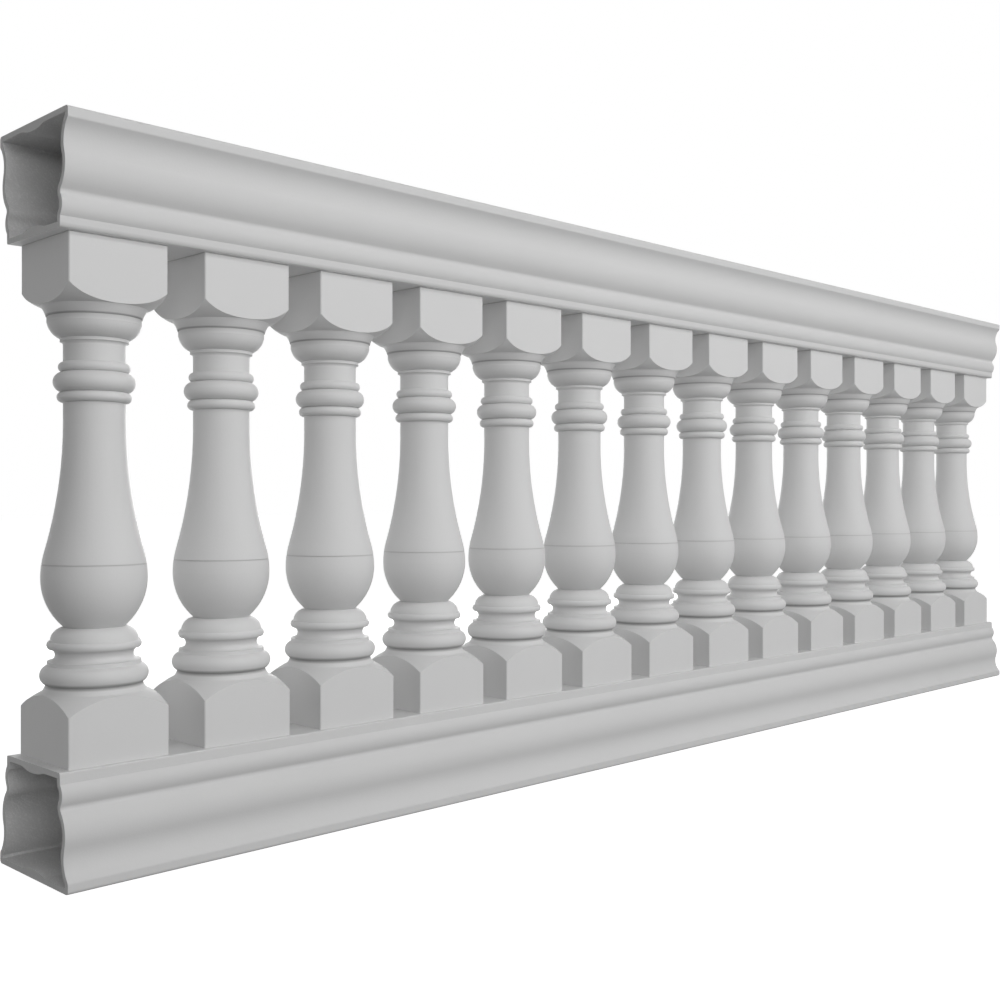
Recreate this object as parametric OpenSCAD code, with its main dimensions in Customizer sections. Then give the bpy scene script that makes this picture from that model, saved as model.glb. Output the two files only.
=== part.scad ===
// Balustrade panel of moulded fiberglass: a row of turned balusters on square
// plinths between a hollow bottom rail and a hollow top rail.
// X runs along the rails, Y across them and Z up. The origin is at floor level
// in the middle of the bottom rail. Units are millimetres.

/* [Panel] */
// Length of the two rails
panel_len = 2540; // [1500:10:4000]
// From each rail end to the first plinth
end_margin = 13.8; // [5:0.1:150]
// Height of a baluster, from rail to rail
baluster_h = 637.4; // [520:0.1:900]

/* [Rail] */
// Height of a rail
rail_h = 138.5; // [132:0.1:190]
// Half the width of a rail over its nose
nose_w = 93.2; // [86:0.1:120]
// Rounding of the outer arris of the nose
nose_round = 4.5; // [1:0.1:5]
// Rounding of the arris between the nose and the cavetto
nose_ease = 4; // [1:0.1:5]
// How far the cavetto cuts in behind the nose
cavetto_depth = 11.2; // [7:0.1:16]
// Radius of the cavetto
cavetto_r = 36; // [30:0.5:45]
// How far the crest of the swell stands behind the nose
swell_back = 6.9; // [4:0.1:8]
// Radius of the swell below the cavetto
swell_r = 40.5; // [36:0.1:46]
// From the crest of the swell to the crest of the bead
swell_to_bead = 46.7; // [44:0.1:52]
// Radius of the quirk between the swell and the bead
quirk_r = 6.5; // [2:0.1:10]
// How far the crest of the bead stands behind the nose
bead_back = 15; // [12:0.1:17]
// Radius of the bead
bead_r = 19.8; // [17:0.1:24]
// Height of the crest of the bead over the inner face
bead_up = 27; // [25:0.1:34]
// Half the width of the rail at the fillet next to the bead
fillet_w = 73.8; // [71:0.1:76]
// Half the width of the inner face of a rail
inner_face_w = 72.6; // [70:0.1:76]
// Rounding of the arris between the fillet and the inner face
inner_ease = 2.5; // [1:0.1:5]
// Thickness of the rail's shell
shell_t = 7; // [5:0.5:9]
// Width of the bonding lap inside each flat wall
lap_w = 60; // [30:1:90]
// How far the lap stands into the hollow
lap_h = 4.5; // [2:0.1:8]

/* [Plinths] */
// Side of the lower plinth
lower_plinth_w = 132; // [110:1:140]
// Side of the upper plinth
upper_plinth_w = 130; // [110:1:140]
// Height of the lower plinth at its corners
lower_plinth_h = 60.6; // [40:0.1:90]
// Height of the upper plinth at its corners
upper_plinth_h = 59.7; // [40:0.1:90]
// Bevel of the plinths' upright arrises and of those under the top rail
plinth_arris = 1.2; // [0.5:0.1:3]
// Height of the shoulder over the lower plinth's corners
lower_shoulder_h = 21.2; // [15:0.1:30]
// Height of the shoulder under the upper plinth's corners
upper_shoulder_h = 19.8; // [15:0.1:30]
// Radius of the curve of the lower shoulder
lower_shoulder_r = 120; // [40:1:200]
// Radius of the curve of the upper shoulder
upper_shoulder_r = 54.7; // [30:0.1:110]
// Radius of the baluster at the top of the lower shoulder
lower_shoulder_top_r = 62.9; // [60:0.1:64]
// Radius of the baluster at the bottom of the upper shoulder
upper_shoulder_foot_r = 64.1; // [61:0.1:65]

/* [Turned mouldings] */
// Radius of the lower neck under the base torus
lower_neck_r = 58.2; // [56:0.1:60]
// Height of the lower neck
lower_neck_h = 8.8; // [7:0.1:11]
// Radius of the hollow of the lower neck
lower_neck_hollow_r = 21; // [12:0.1:40]
// Radius of the section of the base torus
base_torus_r = 12.7; // [12:0.1:16]
// Height of the base torus
base_torus_h = 23.6; // [22:0.1:24]
// Height of the fillet between the base torus and the scotia
base_fillet_h = 4.9; // [3:0.1:8]
// Radius of the scotia's hollow
scotia_r = 7.8; // [6:0.1:10]
// Radius of the baluster at the bottom of the scotia
scotia_floor_r = 47.3; // [44:0.1:50]
// Radius over the fillets on both sides of the scotia
base_fillet_r = 56.5; // [53:0.1:60]
// Height of the lip over the scotia
lip_h = 9; // [7:0.1:12]
// Height of the quarter round between the lip and the bulb
base_ring_h = 17.4; // [15:0.1:21]
// Radius of the section of the quarter round
base_ring_r = 18; // [13:0.1:24]
// Radius of the section of the lip
lip_r = 6.4; // [6.2:0.1:12]
// How far the quarter round stands back behind the fillets
base_ring_back = 3.4; // [2:0.1:5]

/* [Vase] */
// Radius of the belly at its widest
belly_r = 64.2; // [56:0.1:65]
// Height of the bulb below the belly
bulb_h = 60.9; // [54:0.1:65]
// Radius of the curve of the bulb below the belly
bulb_curve_r = 81.7; // [68:0.1:90]
// Radius of the curve over the belly
belly_curve_r = 121.7; // [80:0.1:140]
// Height of the joint over the widest point of the belly
joint_over_belly = 17.4; // [10:0.1:60]
// Height of the fine rebate round the lower casting's rim at the joint
seam_h = 0.9; // [0.5:0.1:2]
// Depth of the rebate
seam_depth = 0.7; // [0.4:0.1:2]
// Radius of the shaft
shaft_r = 37.6; // [33:0.1:40]
// Straight stretch of shaft under the collar
shaft_straight_h = 23.8; // [5:0.1:60]

/* [Collar and cap] */
// Radius of the section of the lower collar bead
lower_bead_r = 6.6; // [5:0.1:9]
// How far the lower bead's middle stands out from the shaft
lower_bead_out = 0.9; // [-1:0.1:2]
// Radius of the section of the collar torus
collar_torus_r = 12.7; // [11:0.1:16]
// How far the torus's middle lies inside the shaft
collar_torus_in = 0.6; // [-1:0.1:2]
// Radius of the section of the upper collar bead
upper_bead_r = 6.4; // [5:0.1:9]
// How far the upper bead's middle lies inside the shaft
upper_bead_in = 0.5; // [-1:0.1:2]
// How deep the beads and the torus sink into one another
collar_overlap = 0.6; // [0.2:0.1:1]
// Height of the necking over the collar
necking_h = 25.7; // [15:0.1:30]
// Radius of the cove under the annulet
annulet_cove_r = 5; // [4.6:0.1:8]
// Height of the cove under the annulet
annulet_cove_h = 4.5; // [3:0.1:4.5]
// Height of the annulet over the necking
annulet_h = 3.8; // [2:0.1:6]
// Radius of the annulet
annulet_r = 41.4; // [41.2:0.1:44]
// Radius of the baluster where the ovolo starts
ovolo_foot_r = 41; // [37:0.1:41]
// Radius of the section of the ovolo
ovolo_r = 24.5; // [15:0.1:26]
// Height of the ovolo
ovolo_h = 19; // [16:0.1:24]
// Radius of the cap's band over the ovolo
cap_r = 56.9; // [52:0.1:57]
// Height of the band over the ovolo
cap_band_h = 7.7; // [4:0.1:12]
// Radius of the baluster where the flare starts
flare_foot_r = 57.9; // [57.2:0.1:60]
// Radius of the hollow of the flare
flare_hollow_r = 32; // [20:0.1:60]
// Height of the flare between the cap and the upper shoulder
flare_h = 12.2; // [8:0.1:16]

/* [Hidden] */
$fn = 96;
baluster_count = 14;
colour_casting = [0.80, 0.80, 0.80];
colour_rail = [0.78, 0.78, 0.78];
reach = 1000; // wider than any section, for cutting bands out of circles
past = 2; // how far curves run on into solid stuff beyond the places where they cross
blend = 0.002; // how far touching arcs are let into each other, so that they join
sweep_blend = 0.02; // the same for the long arcs of the vase
cap_step = 0.3; // how far the ovolo's top stands back behind the cap's band

total_h = 2 * rail_h + baluster_h;
pitch = (panel_len - 2 * end_margin - lower_plinth_w) / (baluster_count - 1);

// Heights on a baluster, from its foot
lower_shoulder_z = lower_plinth_h + lower_shoulder_h;
base_torus_z = lower_shoulder_z + lower_neck_h;
base_fillet_z = base_torus_z + base_torus_h;
scotia_z = base_fillet_z + base_fillet_h;
lip_z = scotia_z + 2 * scotia_r;
base_ring_z = lip_z + lip_h;
bulb_z = base_ring_z + base_ring_h;
belly_z = bulb_z + bulb_h;
joint_z = belly_z + joint_over_belly;

// Heights from its top down
upper_plinth_z = baluster_h - upper_plinth_h;
upper_shoulder_z = upper_plinth_z - upper_shoulder_h;
cap_band_z = upper_shoulder_z - flare_h - cap_band_h;
ovolo_z = cap_band_z - ovolo_h;
annulet_z = ovolo_z - annulet_h;
necking_z = annulet_z - necking_h;
upper_bead_z = necking_z - 2 * upper_bead_r + collar_overlap;
collar_torus_z = upper_bead_z - 2 * collar_torus_r + collar_overlap;
collar_z = collar_torus_z - 2 * lower_bead_r + collar_overlap;
sweep_top_z = collar_z - shaft_straight_h;

// The sweep from belly to shaft is the circle that is upright at the shaft and
// touches the curve over the belly. Its radius is rounded up to a hundredth.
belly_curve_x = belly_r - belly_curve_r;
sweep_edge = shaft_r - sweep_blend;
sweep_run = sweep_edge - belly_curve_x;
sweep_rise = sweep_top_z - belly_z;
sweep_from_r = belly_curve_r - sweep_blend;
sweep_r = ceil(50 * (sweep_run * sweep_run + sweep_rise * sweep_rise - sweep_from_r * sweep_from_r)
    / (sweep_from_r - sweep_run)) / 100;
touch = belly_curve_r / (belly_curve_r + sweep_r);
touch_z = belly_z + sweep_rise * touch;
sweep_axis_z = belly_z - sweep_rise * belly_curve_x / (sweep_run + sweep_r);
joint_r = joint_z < touch_z
    ? belly_curve_x + sqrt(belly_curve_r * belly_curve_r - joint_over_belly * joint_over_belly)
    : sweep_edge + sweep_r - sqrt(sweep_r * sweep_r - (sweep_top_z - joint_z) * (sweep_top_z - joint_z));
scotia_rim_r = scotia_floor_r + scotia_r;
bulb_foot_r = belly_r - bulb_curve_r + sqrt(bulb_curve_r * bulb_curve_r - bulb_h * bulb_h);

// Centres of the arcs of a rail's section, as half width and height. Each arc
// touches the next one.
bead_c = [nose_w - bead_back - bead_r, rail_h - bead_up];
swell_c = [nose_w - swell_back - swell_r, bead_c.y - swell_to_bead];
quirk_c = meeting(swell_c, swell_r + quirk_r - blend, bead_c, bead_r + quirk_r - blend);
cavetto_x = nose_w - cavetto_depth + cavetto_r;
cavetto_c = [cavetto_x, lower_on_circle(swell_c, swell_r + cavetto_r - blend, cavetto_x)];
nose_c = [nose_w - nose_ease, lower_on_circle(cavetto_c, cavetto_r + nose_ease - blend, nose_w - nose_ease)];

// Farthest a plinth's corner lies from the axis
lower_corner_r = lower_plinth_w / sqrt(2);
upper_corner_r = upper_plinth_w / sqrt(2);

function name_no(i) = str(i < 9 ? "0" : "", i + 1);
function lower_name(i) = str("baluster_", name_no(i), "_lower");
function upper_name(i) = str("baluster_", name_no(i), "_upper");
function baluster_x(i) = (i - (baluster_count - 1) / 2) * pitch;

// ---- Section pieces: x is the distance from the middle, y the height ----

// Centre of the circle of radius r through p and q, on the side of the middle
// for r over 0 and on the outside for r under 0
function arc_centre(p, q, r) =
    let (
        chord = q - p,
        half = norm(chord) / 2,
        inward = [-chord.y, chord.x] / norm(chord)
    )
    (p + q) / 2 + inward * sign(r) * sqrt(r * r - half * half);

// Plain band from height z0 to z1
module band(z0, z1, w) {
    polygon([[0, z0], [w, z0], [w, z1], [0, z1]]);
}

// Slice of a disc from height z0 to z1, filled in as far as the middle
module disc_band(centre, r, z0, z1) {
    intersection() {
        translate(centre) circle(r);
        band(z0, z1, reach);
    }
    if (centre.x > 0) band(z0, z1, centre.x);
}

// Moulding that swells out between p and q, with q the higher
module swell_out(p, q, r) {
    disc_band(arc_centre(p, q, r), r, p.y, q.y);
}

// Moulding that is hollowed between p and q, with q the higher. It may run on
// below p and above q, inside the neighbours.
module hollow_in(p, q, r, below, above) {
    difference() {
        band(p.y - below, q.y + above, max(p.x, q.x) + past);
        translate(arc_centre(p, q, -r)) circle(r);
    }
}

// ---- Rails ----

// Centre of the circle at distance a from p and b from q, on the outer side
function meeting(p, a, q, b) =
    let (
        apart = norm(q - p),
        dir = (q - p) / apart,
        along = (a * a - b * b + apart * apart) / (2 * apart)
    )
    p + along * dir + sqrt(a * a - along * along) * [dir.y, -dir.x];

// Height of the lower point at x on the circle of radius r about c
function lower_on_circle(c, r, x) = c.y - sqrt(r * r - (x - c.x) * (x - c.x));

// Half of a rail's section, inset all round by t. Heights start at the outer
// face, which is the floor face of the bottom rail and the top of the top rail.
// The outline runs through the arcs' centres. Discs fill it out to the swelling
// arcs, and the hollow ones are cut from it.
module rail_half(t) {
    difference() {
        polygon(concat(
            t < nose_ease
                ? [[nose_w - nose_round, t], [nose_w - t, nose_round], [nose_w - t, nose_c.y], nose_c]
                : [[nose_w - t, t], [nose_w - t, cavetto_c.y]],
            [
                cavetto_c,
                swell_c,
                quirk_c,
                bead_c,
                [fillet_w - t, bead_c.y]
            ],
            t < inner_ease
                ? [[inner_face_w - t, rail_h - inner_ease], [inner_face_w - inner_ease, rail_h - t]]
                : [[inner_face_w - t, rail_h - t]],
            [[0, rail_h - t], [0, t]]
        ));
        translate(cavetto_c) circle(cavetto_r + t);
        translate(quirk_c) circle(quirk_r + t);
    }
    if (t < nose_ease) {
        translate([nose_w - nose_round, nose_round]) circle(nose_round - t);
        translate(nose_c) circle(nose_ease - t);
    }
    if (t < inner_ease)
        translate([inner_face_w - inner_ease, rail_h - inner_ease]) circle(inner_ease - t);
    translate(swell_c) circle(swell_r - t);
    translate(bead_c) circle(bead_r - t);
}

// The section's two halves, one the mirror image of the other
module mirrored_x() {
    children();
    mirror([1, 0]) children();
}

// Bonding lap on the inside of a flat wall, as a low rounded strip
module lap(wall_z, towards) {
    lap_r = (lap_w * lap_w / 4 + lap_h * lap_h) / (2 * lap_h);
    translate([0, wall_z + towards * (lap_h - lap_r)]) circle(lap_r, $fn = 360);
}

module rail_section() {
    difference() {
        mirrored_x() rail_half(0);
        difference() {
            mirrored_x() rail_half(shell_t);
            lap(shell_t, 1);
            lap(rail_h - shell_t, -1);
        }
    }
}

// The rail along X with its section's heights running up
module rail() {
    translate([-panel_len / 2, 0, 0])
        rotate([90, 0, 90])
            linear_extrude(panel_len) rail_section();
}

module bottom_rail() {
    color(colour_rail) rail();
}

// The same section the other way up
module top_rail() {
    color(colour_rail) translate([0, 0, total_h]) mirror([0, 0, 1]) rail();
}

// ---- Balusters ----

// Upright block of square plan, centred on the axis, with bevelled upright arrises
module block(w, z0, z1) {
    bevelled_w = sqrt(2) * (w - plinth_arris);
    intersection() {
        translate([-w / 2, -w / 2, z0]) cube([w, w, z1 - z0]);
        rotate([0, 0, 45]) translate([-bevelled_w / 2, -bevelled_w / 2, z0 - past])
            cube([bevelled_w, bevelled_w, z1 - z0 + 2 * past]);
    }
}

// Long wedge along Y that bevels the two upper arrises of a block as it is cut to it
module top_bevel(w, z0, z1) {
    out = w / 2 + past;
    bevel_z = z1 - plinth_arris - past;
    top = w / 2 - plinth_arris - past;
    rotate([90, 0, 0]) translate([0, 0, -out]) linear_extrude(2 * out)
        polygon([[-out, z0 - past], [out, z0 - past], [out, bevel_z],
            [top, z1 + past], [-top, z1 + past], [-out, bevel_z]]);
}

// Turned outline of the foot, up to the top of the shoulder. The shoulder's curve
// runs on past the plinth's corners, where the square cuts it.
module lower_shoulder_outline() {
    corner = [lower_corner_r, lower_plinth_h];
    top = [lower_shoulder_top_r, lower_shoulder_z];
    disc_band(arc_centre(corner, top, lower_shoulder_r), lower_shoulder_r,
        lower_plinth_h - past, lower_shoulder_z + past);
    band(0, lower_plinth_h - past, lower_corner_r + 3 * past);
    band(0, base_torus_z, lower_neck_r - past);
}

// Base mouldings: neck, torus, fillet, scotia, lip and quarter round
module base_outline() {
    neck = [lower_neck_r, base_torus_z];
    fillet = [base_fillet_r, base_fillet_z];
    torus_c = arc_centre(neck, fillet, base_torus_r);
    ring_c = arc_centre([base_fillet_r - base_ring_back, base_ring_z], [bulb_foot_r, bulb_z], base_ring_r);
    hollow_in([lower_shoulder_top_r, lower_shoulder_z], neck, lower_neck_hollow_r, past, past);
    translate(torus_c) circle(base_torus_r);
    band(base_torus_z, scotia_z, torus_c.x);
    band(torus_c.y, scotia_z, base_fillet_r);
    difference() {
        band(scotia_z, lip_z, scotia_rim_r);
        translate([scotia_rim_r, scotia_z + scotia_r]) circle(scotia_r);
    }
    swell_out([scotia_rim_r, lip_z], [scotia_rim_r, base_ring_z], lip_r);
    intersection() {
        translate(ring_c) circle(base_ring_r);
        band(base_ring_z - past, bulb_z + past, reach);
    }
    band(base_ring_z, bulb_z, min(ring_c.x, bulb_foot_r) - past);
}

// Bulb, belly and sweep between heights z0 and z1
module vase_outline(z0, z1) {
    sweep_c = [sweep_edge + sweep_r, sweep_top_z];
    intersection() {
        union() {
            disc_band([belly_r - bulb_curve_r, belly_z], bulb_curve_r, bulb_z - past, belly_z, $fn = 360);
            disc_band([belly_curve_x, belly_z], belly_curve_r, belly_z, sweep_top_z, $fn = 360);
            difference() {
                polygon([[0, sweep_axis_z], sweep_c, [0, sweep_top_z]]);
                translate(sweep_c) circle(sweep_r, $fn = 1440);
            }
        }
        band(z0, z1, reach);
    }
}

// Lower casting, from the plinth to the joint on the belly, cut to the plinth's square
module baluster_lower_at_origin() {
    intersection() {
        rotate_extrude() {
            lower_shoulder_outline();
            base_outline();
            vase_outline(bulb_z - past, joint_z - seam_h);
            band(joint_z - seam_h - past, joint_z, joint_r - seam_depth);
        }
        block(lower_plinth_w, 0, joint_z);
    }
}

// Collar: a torus between two beads, on the shaft
module collar_outline() {
    band(sweep_top_z - shaft_r, annulet_z, shaft_r);
    translate([shaft_r + lower_bead_out, collar_z + lower_bead_r]) circle(lower_bead_r);
    translate([shaft_r - collar_torus_in, collar_torus_z + collar_torus_r]) circle(collar_torus_r);
    translate([shaft_r - upper_bead_in, upper_bead_z + upper_bead_r]) circle(upper_bead_r);
}

// Annulet, ovolo, band and flare under the upper shoulder
module cap_outline() {
    flare_foot = [flare_foot_r, cap_band_z + cap_band_h];
    shoulder_foot = [upper_shoulder_foot_r, upper_shoulder_z];
    corner = [upper_corner_r, upper_plinth_z];
    difference() {
        band(annulet_z - annulet_cove_h, annulet_z, annulet_r);
        translate([shaft_r + annulet_cove_r - blend, annulet_z - annulet_cove_h]) circle(annulet_cove_r);
    }
    band(annulet_z, ovolo_z, annulet_r);
    swell_out([ovolo_foot_r, ovolo_z], [cap_r - cap_step, cap_band_z], ovolo_r);
    band(cap_band_z, flare_foot.y, cap_r);
    hollow_in(flare_foot, shoulder_foot, flare_hollow_r, 0, past);
    disc_band(arc_centre(shoulder_foot, corner, upper_shoulder_r), upper_shoulder_r,
        upper_shoulder_z - past, upper_plinth_z + past);
    band(upper_shoulder_z, upper_plinth_z + past, cap_r);
    band(upper_plinth_z + past, baluster_h, upper_corner_r + 3 * past);
}

// Upper casting, from the joint to the top of the upper plinth
module baluster_upper_at_origin() {
    intersection() {
        rotate_extrude() {
            vase_outline(joint_z, sweep_top_z);
            collar_outline();
            cap_outline();
        }
        block(upper_plinth_w, joint_z, baluster_h);
        top_bevel(upper_plinth_w, joint_z, baluster_h);
        rotate([0, 0, 90]) top_bevel(upper_plinth_w, joint_z, baluster_h);
    }
}

module baluster_lower(i) {
    color(colour_casting) translate([baluster_x(i), 0, rail_h]) baluster_lower_at_origin();
}

module baluster_upper(i) {
    color(colour_casting) translate([baluster_x(i), 0, rail_h]) baluster_upper_at_origin();
}

bottom_rail();
top_rail();
for (i = [0:baluster_count - 1]) {
    baluster_lower(i);
    baluster_upper(i);
}
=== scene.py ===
"""Looks of the fiberglass balustrade: finish of the castings and rails, floor, lamps and camera."""

import math

import bpy
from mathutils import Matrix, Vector


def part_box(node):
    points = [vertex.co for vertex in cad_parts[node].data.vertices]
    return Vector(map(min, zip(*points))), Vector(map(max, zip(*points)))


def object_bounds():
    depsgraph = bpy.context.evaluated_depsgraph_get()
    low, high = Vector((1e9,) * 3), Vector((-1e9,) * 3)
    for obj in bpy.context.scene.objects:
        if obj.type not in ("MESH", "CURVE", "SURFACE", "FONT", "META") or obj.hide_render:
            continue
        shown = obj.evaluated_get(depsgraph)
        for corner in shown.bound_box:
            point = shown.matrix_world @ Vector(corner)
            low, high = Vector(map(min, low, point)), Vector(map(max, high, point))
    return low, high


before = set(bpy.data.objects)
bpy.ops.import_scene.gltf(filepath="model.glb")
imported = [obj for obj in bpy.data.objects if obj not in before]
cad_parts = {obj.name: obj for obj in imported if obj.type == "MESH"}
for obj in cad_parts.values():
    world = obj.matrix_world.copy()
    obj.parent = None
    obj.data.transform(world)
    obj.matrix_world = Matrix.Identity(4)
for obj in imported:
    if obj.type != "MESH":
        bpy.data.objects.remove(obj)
cad_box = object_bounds()
scene = bpy.context.scene


# ---- Shader maths ----

class Socket:
    """The output of a node, which arithmetic can be written on."""

    def __init__(self, shading, socket):
        self.shading, self.socket = shading, socket

    def maths(self, operation, *values, **settings):
        inputs = dict(enumerate(values))
        return self.shading.node("ShaderNodeMath", inputs, operation=operation, **settings)

    def __add__(self, other):
        return self.maths("ADD", self, other)

    def __sub__(self, other):
        return self.maths("SUBTRACT", self, other)

    def __rsub__(self, other):
        return self.maths("SUBTRACT", other, self)

    def __mul__(self, other):
        return self.maths("MULTIPLY", self, other)

    def __truediv__(self, other):
        return self.maths("DIVIDE", self, other)

    def __lt__(self, other):
        return self.maths("LESS_THAN", self, other)

    def __gt__(self, other):
        return self.maths("GREATER_THAN", self, other)

    def __abs__(self):
        return self.maths("ABSOLUTE", self)

    __radd__ = __add__
    __rmul__ = __mul__

    def larger(self, other):
        return self.maths("MAXIMUM", self, other)

    def clamped(self):
        """The value held between 0 and 1."""
        return self.maths("ADD", self, 0.0, use_clamp=True)

    def near(self, centre, reach):
        """1 about the centre, out to a third of the reach, and from there falling to 0 at the reach."""
        return ((1 - abs(self - centre) / reach) * 1.5).clamped()


class Shading:
    """The nodes of one material or of the world, each made by the one method."""

    def __init__(self, owner):
        owner.use_nodes = True
        self.tree = owner.node_tree
        self.tree.nodes.clear()

    def node(self, kind, inputs, out=0, **settings):
        """A node of a type: its settings first, then the values or links of its sockets."""
        made = self.tree.nodes.new(kind)
        for name, value in settings.items():
            setattr(made, name, value)
        for name, value in inputs.items():
            if isinstance(value, Socket):
                self.tree.links.new(value.socket, made.inputs[name])
            else:
                made.inputs[name].default_value = value
        return Socket(self, made.outputs[out]) if made.outputs else None


# ---- Finish of the castings and the rails ----

CAST_TONE = 0.62        # pale grey of the sprayed finish on the balusters
RAIL_TONE = 0.582       # and on the rails
CUT_TONE = 0.476        # bare laminate where a rail was sawn
RAW_TONE = 0.64         # inside of a rail, straight from the mat
CLOUD_TONE = 0.035      # how far the clouds in the pigment shift a tone
CUT_SPECKLE = 0.08      # how far the sawn glass does
FIBRE_TONE = 0.14       # and how far a strand of the mat does
FIBRE_MEAN = 0.25       # about the share of the mat that strands cover

MATTE = 0.65            # roughness of the sprayed finish
CLOUD_SHEEN = 0.12      # how far the clouds shift it
SPECULAR = 0.3          # and its weak gloss

CLOUD_SCALE = 5.0       # clouds about 200 mm across
PEEL_SCALE = 330.0      # orange peel about 3 mm across
RELIEF = 0.0004         # depth of the peel and of the strands
RELIEF_STRENGTH = 0.2
FIBRE_RELIEF = 4        # a strand stands this many times prouder than the peel

STRAND_SIZE = (0.024, 0.0021, 0.0021)
STRAND_TURNS = [(0, 0.5, 0.2), (0, -0.5, 0.9), (0, 1.1, 0.3), (0, 0.1, 1.2)]
STRAND_EDGE = 9         # how sharply a strand ends
STRAND_LEVEL = 0.55     # noise above this is strand

INNER_DEPTH = -0.004    # a face that looks towards the axis of its rail, by this margin, is inside
END_ON = 0.5            # a face whose normal runs along the rail by more than this, squared, is sawn
FACING_DOWN = -0.9      # a face whose normal points lower than this is an underside
SHADE_BAND_HEIGHT = 0.0068      # height of the band of painted shade along the foot of the top rail
SHADE_BAND_DEPTH = 0.38       # how much the painted shade darkens the coat
UNDERSIDE_PAINTED_LIGHT = 0.25  # how much paler the underside is painted, as painted light

SEAM_DROP = 0.00045     # middle of the seam's rebate, below the rim of the lower casting
TORUS_RISE = 0.0912     # underside of the base torus, above the foot of the lower casting
BAND_DROP = 0.0913      # underside of the cap's band, below the head of the upper casting

foot, rim = (corner.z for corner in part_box("baluster_01_lower"))
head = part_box("baluster_01_upper")[1].z

# height of each line of painted shade on a baluster (the first lies in the seam, a dark joint darkened
# further with painted shade), its reach up and down, and how much it darkens the coat
PAINTED_SHADE_LINES = [
    (rim - SEAM_DROP, 0.00135, 0.16),
    (foot + TORUS_RISE, 0.0045, 0.45),
    (head - BAND_DROP, 0.0018, 0.40),
    (head - BAND_DROP, 0.0090, 0.16),
]


class Finish(Shading):
    """A matte sprayed finish in the making: its place on the piece, clouds in the pigment and orange peel."""

    def __init__(self, name):
        self.material = bpy.data.materials.new(name)
        super().__init__(self.material)
        self.place = self.node("ShaderNodeTexCoord", {}, out="Object")
        self.cloud = self.noise(self.place, CLOUD_SCALE, Detail=4.0, Roughness=0.55)
        self.peel = self.noise(self.place, PEEL_SCALE, Detail=2.0)
        self.x, self.y, self.z = self.split(self.place)

    def noise(self, place, scale, **inputs):
        return self.node("ShaderNodeTexNoise", {"Vector": place, "Scale": scale, **inputs}, out="Fac")

    def split(self, vector):
        """The three parts of a vector."""
        return [self.node("ShaderNodeSeparateXYZ", {0: vector}, out=k) for k in range(3)]

    def strands(self):
        """Chopped strands of the glass mat, lying every way: 0 between them, 1 on them."""
        total = 0.0
        for turn in STRAND_TURNS:
            inputs = {"Vector": self.place, "Rotation": turn, "Scale": STRAND_SIZE}
            laid = self.node("ShaderNodeMapping", inputs, vector_type="TEXTURE")
            thread = self.noise(laid, 1.0, Detail=1.0)
            total = total + ((thread - STRAND_LEVEL) * STRAND_EDGE).clamped()
        return total / len(STRAND_TURNS)

    def finished(self, tone, height):
        """The material, from the grey and the relief that were worked out for it."""
        colour = self.node("ShaderNodeCombineColor", {0: tone, 1: tone, 2: tone})
        relief = {"Height": height, "Strength": RELIEF_STRENGTH, "Distance": RELIEF}
        surface = {
            "Base Color": colour,
            "Roughness": MATTE + (self.cloud - 0.5) * CLOUD_SHEEN,
            "Specular IOR Level": SPECULAR,
            "Normal": self.node("ShaderNodeBump", relief),
        }
        self.node("ShaderNodeOutputMaterial", {"Surface": self.node("ShaderNodeBsdfPrincipled", surface)})
        return self.material


def casting_finish():
    """Gelcoat of the balusters, with painted shade darkening the seam and the creases of the mouldings."""
    f = Finish("baluster_gelcoat")
    tone = CAST_TONE + (f.cloud - 0.5) * CLOUD_TONE
    for height, reach, depth in PAINTED_SHADE_LINES:
        tone = tone * (1 - f.z.near(height, reach) * depth)
    return f.finished(tone, f.peel)


def rail_finish(node):
    """Gelcoat outside, bare laminate on the sawn ends and glass mat inside."""
    low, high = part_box(node)
    f = Finish(node + "_gelcoat")
    nx, ny, nz = f.split(f.node("ShaderNodeTexCoord", {}, out="Normal"))
    inside = ny * f.y + nz * (f.z - (low.z + high.z) / 2) < INNER_DEPTH
    sawn = nx * nx > END_ON
    fibre = f.strands()
    coat = RAIL_TONE + (f.cloud - 0.5) * CLOUD_TONE
    if node == "top_rail":
        # painted shade along the foot of the top rail's front and back faces, over painted light on its
        # underside
        foot_shade = ((low.z + SHADE_BAND_HEIGHT - f.z) / SHADE_BAND_HEIGHT).clamped()
        coat = coat * (1 - foot_shade * (ny * ny) * SHADE_BAND_DEPTH) * (1 + (nz < FACING_DOWN) * UNDERSIDE_PAINTED_LIGHT)
    raw = RAW_TONE + (fibre - FIBRE_MEAN) * FIBRE_TONE
    cut = CUT_TONE + (f.peel - 0.5) * CUT_SPECKLE
    tone = coat * (1 - inside) + raw * inside
    tone = tone * (1 - sawn) + cut * sawn
    return f.finished(tone, f.peel * (1 - inside) + fibre * FIBRE_RELIEF * inside)


casting_coat = casting_finish()
rail_coats = {node: rail_finish(node) for node in ("bottom_rail", "top_rail")}

for name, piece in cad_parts.items():
    piece.data.materials.clear()
    piece.data.materials.append(rail_coats.get(name, casting_coat))


# ---- Floor and sky: plain white to look at, and dimmer in the light that they give ----

FLOOR_SIZE = 60
FLOOR_TONE = 0.3        # what the floor gives back to the balustrade
FLOOR_SHOWN = 0.6       # what the eye sees of the light and shadow on it
FLOOR_GLOW = 0.85       # and the white that is added to that
SKY_LIGHT = 0.168       # strength of the sky as a light
SKY_SHOWN = 1.0         # and as a white backdrop


def looked_at(shading):
    """1 for rays that look, straight or through gloss or glass, and 0 for light that bounces."""
    camera_ray, glossy_ray, through_ray = (
        shading.node("ShaderNodeLightPath", {}, out=ray)
        for ray in ("Is Camera Ray", "Is Glossy Ray", "Is Transmission Ray")
    )
    return camera_ray.larger(glossy_ray).larger(through_ray)


def grey(tone):
    return (tone, tone, tone, 1)


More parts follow.
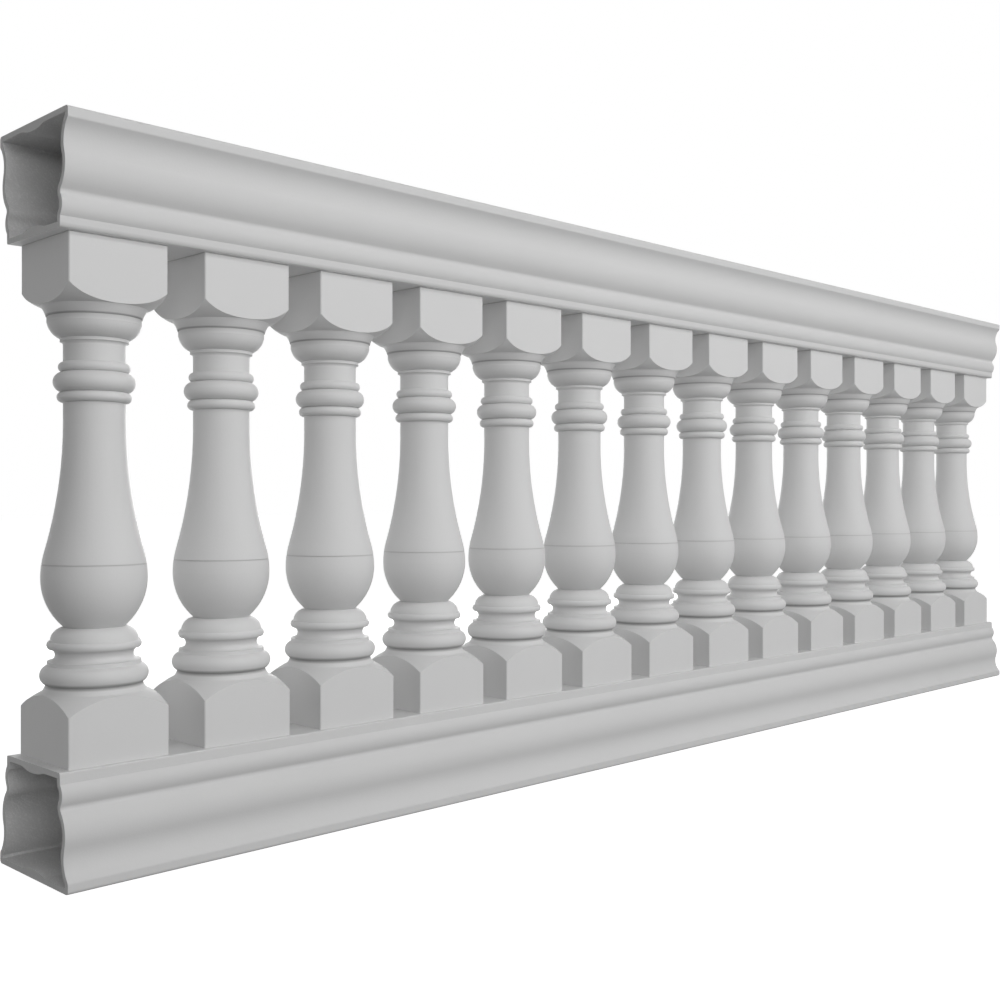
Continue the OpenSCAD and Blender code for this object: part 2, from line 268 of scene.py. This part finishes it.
def pale_floor():
    """The floor's material, which keeps the shadow of the balustrade."""
    material = bpy.data.materials.new("pale_floor")
    f = Shading(material)
    lit = f.node("ShaderNodeBsdfDiffuse", {"Color": grey(FLOOR_TONE)})
    shown = f.node("ShaderNodeBsdfDiffuse", {"Color": grey(FLOOR_SHOWN)})
    glow = f.node("ShaderNodeEmission", {"Color": grey(1), "Strength": FLOOR_GLOW})
    seen = f.node("ShaderNodeAddShader", {0: shown, 1: glow})
    mixed = f.node("ShaderNodeMixShader", {0: looked_at(f), 1: lit, 2: seen})
    f.node("ShaderNodeOutputMaterial", {"Surface": mixed})
    return material


def studio_world():
    """Even light from all round, and a white backdrop."""
    world = bpy.data.worlds.new("studio")
    w = Shading(world)
    lit = w.node("ShaderNodeBackground", {"Color": grey(1), "Strength": SKY_LIGHT})
    seen = w.node("ShaderNodeBackground", {"Color": grey(1), "Strength": SKY_SHOWN})
    mixed = w.node("ShaderNodeMixShader", {0: looked_at(w), 1: lit, 2: seen})
    w.node("ShaderNodeOutputWorld", {"Surface": mixed})
    return world


bpy.ops.object.select_all(action="DESELECT")
bpy.ops.mesh.primitive_plane_add(size=FLOOR_SIZE, location=(0, 0, 0))
floor = bpy.context.object
floor.name = "floor"
floor.data.materials.append(pale_floor())
scene.world = studio_world()


# ---- Lamps ----

AIM = Vector((0, 0, 0.45))      # about the middle of the balustrade
SOFTBOX_SIZE = (6.0, 0.8)
BROAD_ANGLE = 30


def softbox(name, place, watts):
    """A long soft lamp that lies along the balustrade and is turned to its middle."""
    bpy.ops.object.light_add(type="AREA", location=place)
    lamp = bpy.context.object
    lamp.name = name
    lamp.data.shape = "RECTANGLE"
    lamp.data.size, lamp.data.size_y = SOFTBOX_SIZE
    lamp.data.energy = watts
    lamp.rotation_euler = (AIM - Vector(place)).to_track_quat("-Z", "Y").to_euler()
    lamp.visible_camera = False


def broad_light(name, towards, strength):
    """A far, broad light that comes from the given direction."""
    bpy.ops.object.light_add(type="SUN", location=(0, 0, 2))
    lamp = bpy.context.object
    lamp.name = name
    lamp.data.energy = strength
    lamp.data.angle = math.radians(BROAD_ANGLE)
    lamp.rotation_euler = Vector(towards).to_track_quat("Z", "Y").to_euler()


softbox("front_softbox", (0, -2.3, 1.0), 45.3)
softbox("high_front_softbox", (0, -2.3, 2.6), 41.8)
softbox("back_softbox", (0, 2.3, 0.4), 34.9)
broad_light("low_back_light", (1, 1, 0.2), 1.82)
broad_light("low_side_light", (-1, -1, 0.2), 0.2)


# ---- Camera ----

CAMERA_PAST_END = 0.6530    # beyond the near end of the rails
CAMERA_IN_FRONT = 1.3625    # in front of their noses, and level with the middle of the height
CAMERA_YAW = 44.88          # degrees from +Y towards +X
LENS = 44.49
SENSOR = 36

low, high = cad_box
stand = (low.x - CAMERA_PAST_END, low.y - CAMERA_IN_FRONT, (low.z + high.z) / 2)
bpy.ops.object.camera_add(location=stand, rotation=(math.radians(90), 0, math.radians(-CAMERA_YAW)))
camera = bpy.context.object
camera.data.lens = LENS
camera.data.sensor_width = SENSOR
camera.data.clip_end = 100
scene.camera = camera
scene.view_settings.view_transform = "Standard"
